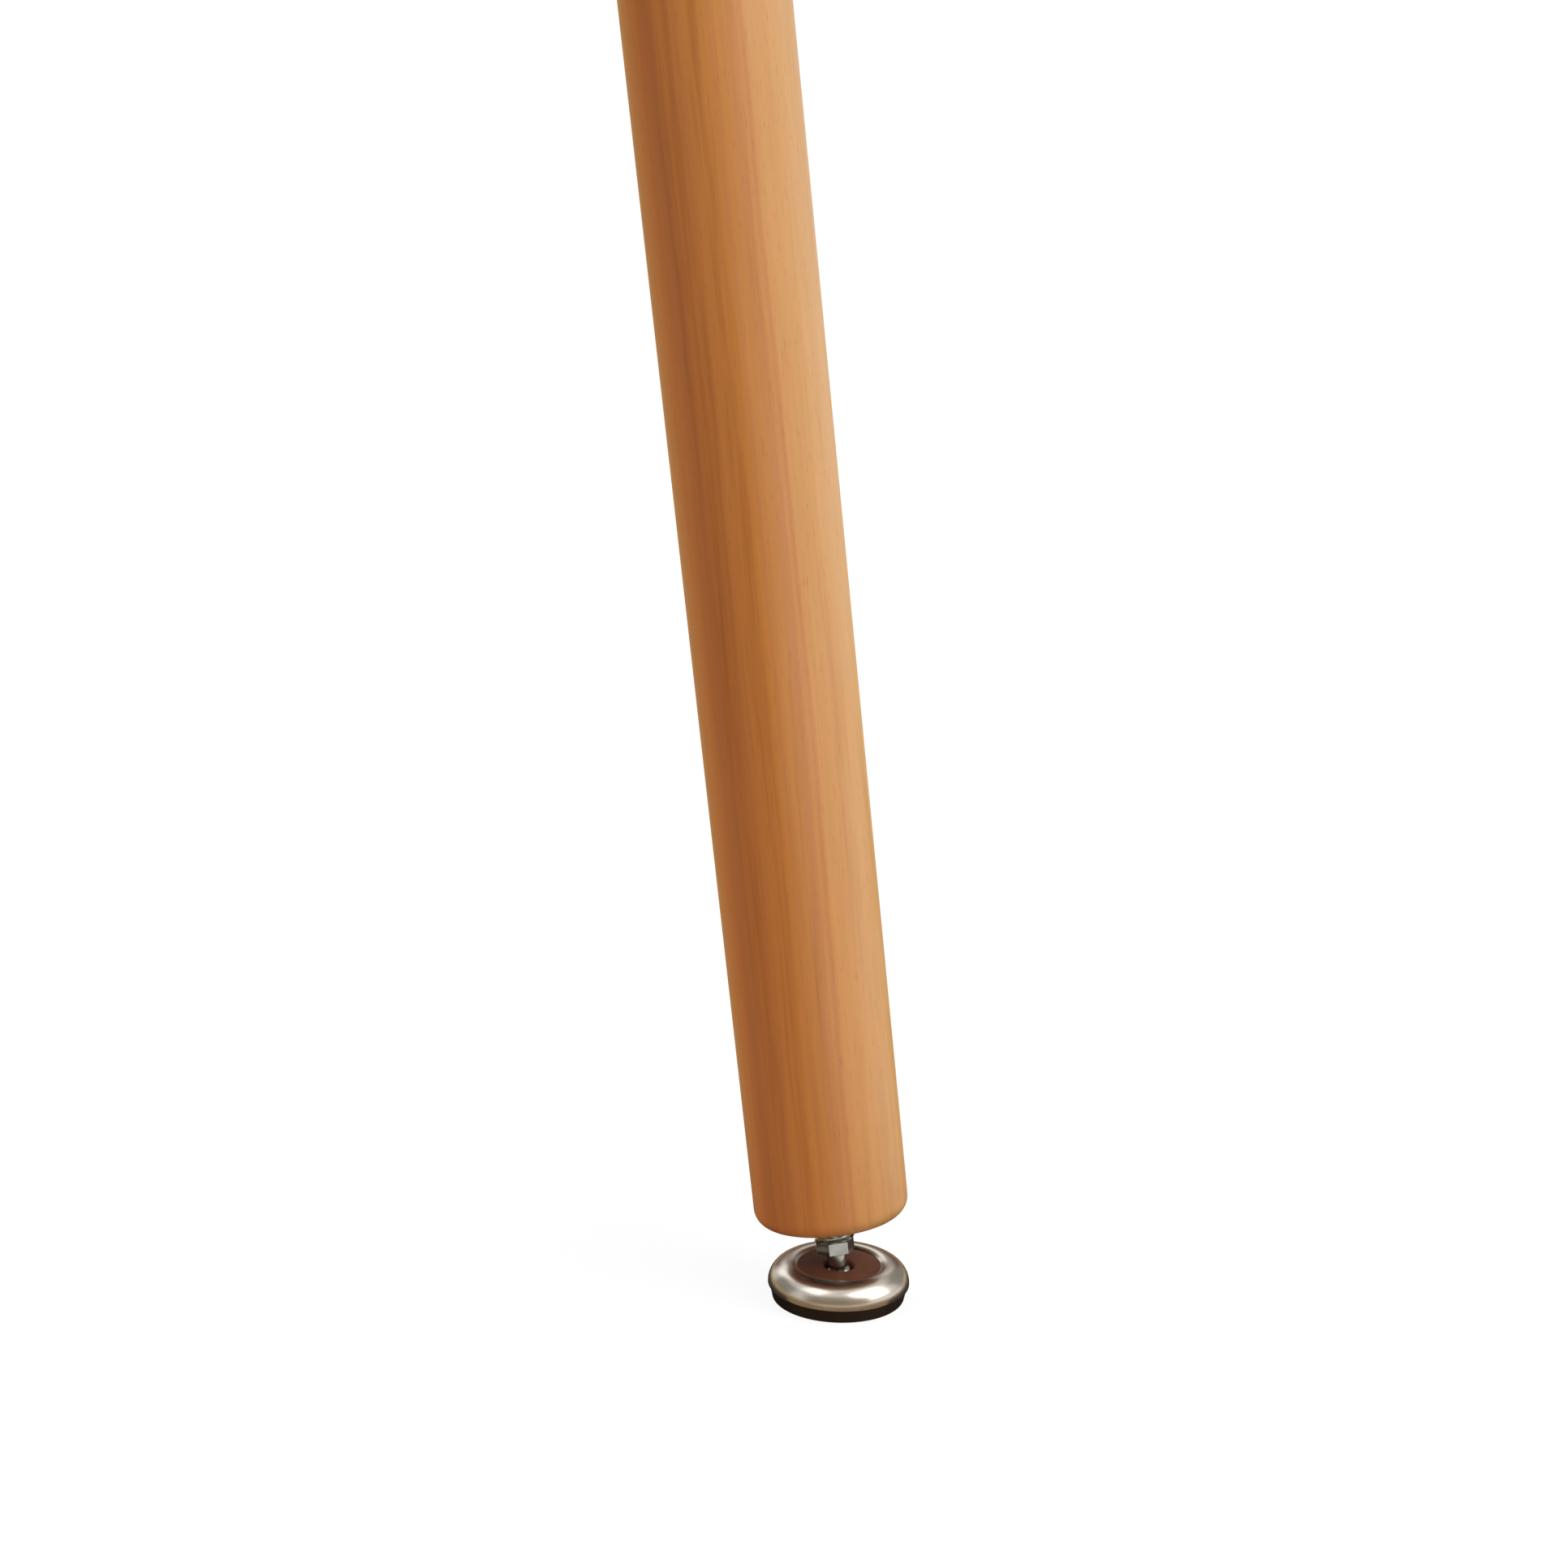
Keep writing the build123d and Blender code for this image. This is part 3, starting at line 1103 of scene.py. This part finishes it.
@dataclass
class Studio:
    """White floor and surroundings, soft lights, and the camera at the picture's viewing angle."""

    image_px: float = 1932.0
    azimuth_deg: float = 34.0
    elevation_deg: float = 24.0
    roll_deg: float = 1.9
    distance: float = 2.6
    px_per_metre: float = 6215.0
    foot_px: Pair = (1032.5, 1597.8)
    sensor_mm: float = 36.0
    nearest: float = 0.01
    farthest: float = 60.0
    floor_side: float = 24.0
    floor_drop: float = 0.1 * MM
    floor_colour: Colour = (0.66, 0.66, 0.66)
    floor_glow: float = 1.11
    white_share: float = 0.80
    ambient: float = 0.48
    lamp_aim: Triple = (0.0, 0.0, 0.12)
    lamps: tuple[Lamp, ...] = (
        Lamp("key", 66, 38, 1.6, 1.5, 23.0),
        Lamp("fill", -58, 56, 1.8, 0.9, 5.5),
        Lamp("rim", -150, 35, 1.8, 1.2, 4.0),
    )
    cards: tuple[Card, ...] = (
        Card("left_card", -104, 16, 1.1, 0.9, 0.9, Glow.GREY),
        Card("right_card", 138, 22, 1.1, 0.8, 0.8, Glow.GREY),
        Card("back_card", 180, -8, 1.1, 1.4, 1.4, Glow.DUSK),
        Card("front_card", 0, 5, 1.1, 2.76, 0.6, Glow.WARM),
        Card("haze_card", 0, 31, 1.12, 2.6, 0.5, Glow.HAZE),
        Card("shade_card", 180, 0, 0.02, 0.06, 0.06, Glow.SHADE, 0.1),
        Card("low_card", 180, 0, 0.02, 0.12, 0.12, Glow.WARM, 0.2),
        Card("side_card", -150, 0, 0.50, 1.0, 1.0, Glow.GOLDEN, 0.4),
        Card("dark_side", -75, 0, 0.70, 1.1, 1.1, Glow.UMBER, 0.6),
        Card("bright_side", 85, 0, 0.72, 1.2, 1.2, Glow.BRIGHT, 0.8),
    )

    @staticmethod
    def direction(azimuth_deg: float, elevation_deg: float) -> Vector:
        """The unit vector from the object towards a viewer at that azimuth and elevation."""
        a, e = math.radians(azimuth_deg), math.radians(elevation_deg)
        return Vector((math.sin(a) * math.cos(e), -math.cos(a) * math.cos(e), math.sin(e)))

    def build(self) -> None:
        """Makes the floor, the surroundings, the lights, the cards and the camera."""
        self._floor()
        self._surroundings()
        for lamp in self.lamps:
            self._light(lamp)
        for card in self.cards:
            self._hang(card)
        self._camera()
        bpy.context.scene.view_settings.view_transform = "Standard"

    @staticmethod
    def _seen(graph: ShaderGraph) -> tuple[Signal, Signal]:
        """What kind of ray meets a surface.

        Args:
            graph: the shader that asks.

        Returns:
            One for rays from the camera, and one for reflections and rays through clear things.
        """
        path = graph.node("ShaderNodeLightPath")
        mirrored = graph.signal(path, "Is Glossy Ray").larger(graph.signal(path, "Is Transmission Ray"))
        return graph.signal(path, "Is Camera Ray"), mirrored

    def _floor(self) -> None:
        """A pale floor that lets the white behind it show, keeps a soft shadow and is clear from below."""
        floor, graph = self._sheet("floor", self.floor_side, self.floor_side)
        floor.location = (0, 0, -self.floor_drop)
        camera, mirrored = self._seen(graph)
        matt = graph.node("ShaderNodeBsdfDiffuse", None, {"Color": (*self.floor_colour, 1)})
        white = graph.node("ShaderNodeEmission", None, {"Color": (*WHITE, 1), "Strength": self.floor_glow})
        share = mirrored * self.white_share
        lit = graph.node("ShaderNodeMixShader", None, {0: share, 1: matt.outputs[0], 2: white.outputs[0]})
        below = graph.signal(graph.node("ShaderNodeNewGeometry"), "Backfacing")
        through = below.larger(camera * self.white_share)
        clear = graph.node("ShaderNodeBsdfTransparent")
        mixed = graph.node("ShaderNodeMixShader", None, {0: through, 1: lit.outputs[0], 2: clear.outputs[0]})
        graph.node("ShaderNodeOutputMaterial", None, {"Surface": mixed.outputs[0]})

    @staticmethod
    def _sheet(name: str, width: float, height: float) -> tuple[bpy.types.Object, ShaderGraph]:
        """A flat sheet of the set, facing up.

        Args:
            name: its name and its material's.
            width: its length along x.
            height: its length along y.

        Returns:
            The object and the empty graph of its material.
        """
        x = width / 2
        y = height / 2
        mesh = bpy.data.meshes.new(name)
        mesh.from_pydata([(-x, -y, 0), (x, -y, 0), (x, y, 0), (-x, y, 0)], [], [(0, 1, 2, 3)])
        sheet = bpy.data.objects.new(name, mesh)
        bpy.context.scene.collection.objects.link(sheet)
        material = bpy.data.materials.new(name)
        material.use_nodes = True
        mesh.materials.append(material)
        return sheet, ShaderGraph(material.node_tree)

    def _surroundings(self) -> None:
        """White where it is seen, and an even soft light elsewhere."""
        world = bpy.data.worlds.new("studio")
        bpy.context.scene.world = world
        world.use_nodes = True
        graph = ShaderGraph(world.node_tree)
        camera, mirrored = self._seen(graph)
        strength = self.ambient + camera * (self.floor_glow - self.ambient) + mirrored * (1 - self.ambient)
        shade = graph.node("ShaderNodeBackground", None, {"Color": (*WHITE, 1), "Strength": strength})
        graph.node("ShaderNodeOutputWorld", None, {"Surface": shade.outputs[0]})

    def _light(self, lamp: Lamp) -> None:
        """Adds a lamp.

        Args:
            lamp: its place, size and power.
        """
        data = bpy.data.lights.new(lamp.name, "AREA")
        data.shape = "SQUARE"
        data.size = lamp.size
        data.energy = lamp.power
        made = bpy.data.objects.new(lamp.name, data)
        towards = self.direction(self.azimuth_deg + lamp.azimuth_deg, lamp.elevation_deg)
        made.location = Vector(self.lamp_aim) + towards * lamp.distance
        made.rotation_mode = "QUATERNION"
        made.rotation_quaternion = (-towards).to_track_quat("-Z", "Y")
        bpy.context.scene.collection.objects.link(made)

    def _hang(self, card: Card) -> None:
        """Adds a card.

        Args:
            card: its place, size and glow.
        """
        sheet, graph = self._sheet(card.name, card.width, card.height)
        azimuth_deg = self.azimuth_deg + card.azimuth_deg
        towards = self.direction(azimuth_deg, card.elevation_deg)
        sheet.location = towards * card.distance
        sheet.rotation_mode = "QUATERNION"
        if card.depth_share:
            sheet.location.z = -self.floor_drop * card.depth_share
            sheet.rotation_quaternion = Quaternion((0, 0, 1), math.radians(azimuth_deg))
        else:
            sheet.rotation_quaternion = towards.to_track_quat("Z", "Y")
        sheet.visible_camera = False
        sheet.visible_diffuse = False
        sheet.visible_shadow = False
        sheet.visible_transmission = False
        sheet.active_material.cycles.emission_sampling = "NONE"
        glow = graph.node("ShaderNodeEmission", None, {"Color": (*card.glow.value, 1), "Strength": 1.0})
        graph.node("ShaderNodeOutputMaterial", None, {"Surface": glow.outputs[0]})

    def _camera(self) -> None:
        """Places the camera so that the foot's floor centre falls on its pixel at the picture's scale."""
        focal_px = self.px_per_metre * self.distance
        data = bpy.data.cameras.new("camera")
        data.sensor_width = self.sensor_mm
        data.lens = self.sensor_mm * focal_px / self.image_px
        data.clip_start = self.nearest
        data.clip_end = self.farthest
        camera = bpy.data.objects.new("camera", data)
        towards = self.direction(self.azimuth_deg, self.elevation_deg)
        right_px = self.foot_px[0] - self.image_px / 2
        down_px = self.foot_px[1] - self.image_px / 2
        aimed = (-towards).to_track_quat("-Z", "Y")
        rolled = Quaternion((0, 0, 1), math.radians(self.roll_deg))
        raised = Quaternion((1, 0, 0), math.atan(down_px / focal_px))
        turned = Quaternion((0, 1, 0), math.atan(right_px / focal_px))
        camera.location = towards * self.distance
        camera.rotation_mode = "QUATERNION"
        camera.rotation_quaternion = aimed @ rolled @ turned @ raised
        bpy.context.scene.collection.objects.link(camera)
        bpy.context.scene.camera = camera


def main() -> None:
    """Builds the sub-assemblies in order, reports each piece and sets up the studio."""
    logging.basicConfig(level=logging.INFO, format="%(name)s: %(message)s")
    leg_axis = TurningAxis.of_leg()
    ball_centre = float(leg_axis.origin[2])
    zinc = PlatedMetal(colour=(0.42, 0.42, 0.385), dull=(0.30, 0.30, 0.28), roughness=0.17)
    nickel = PlatedMetal(colour=(0.52, 0.475, 0.41), dull=(0.46, 0.42, 0.36), roughness=0.26, cloud=0.04)
    leg = TurnedLeg(leg_axis)
    assemblies = (
        leg,
        LevellingStud(leg_axis, zinc),
        HangerBolt(leg_axis, zinc, leg.top),
        SwivelFoot(TurningAxis.on_floor(), ball_centre, nickel, MouldedPlastic()),
        ThreadedInsert(zinc),
    )
    for assembly in assemblies:
        for piece in assembly.build():
            log.info("%s: %d faces", piece.name, len(piece.data.polygons))
    Studio().build()


if __name__ == "__main__":
    main()
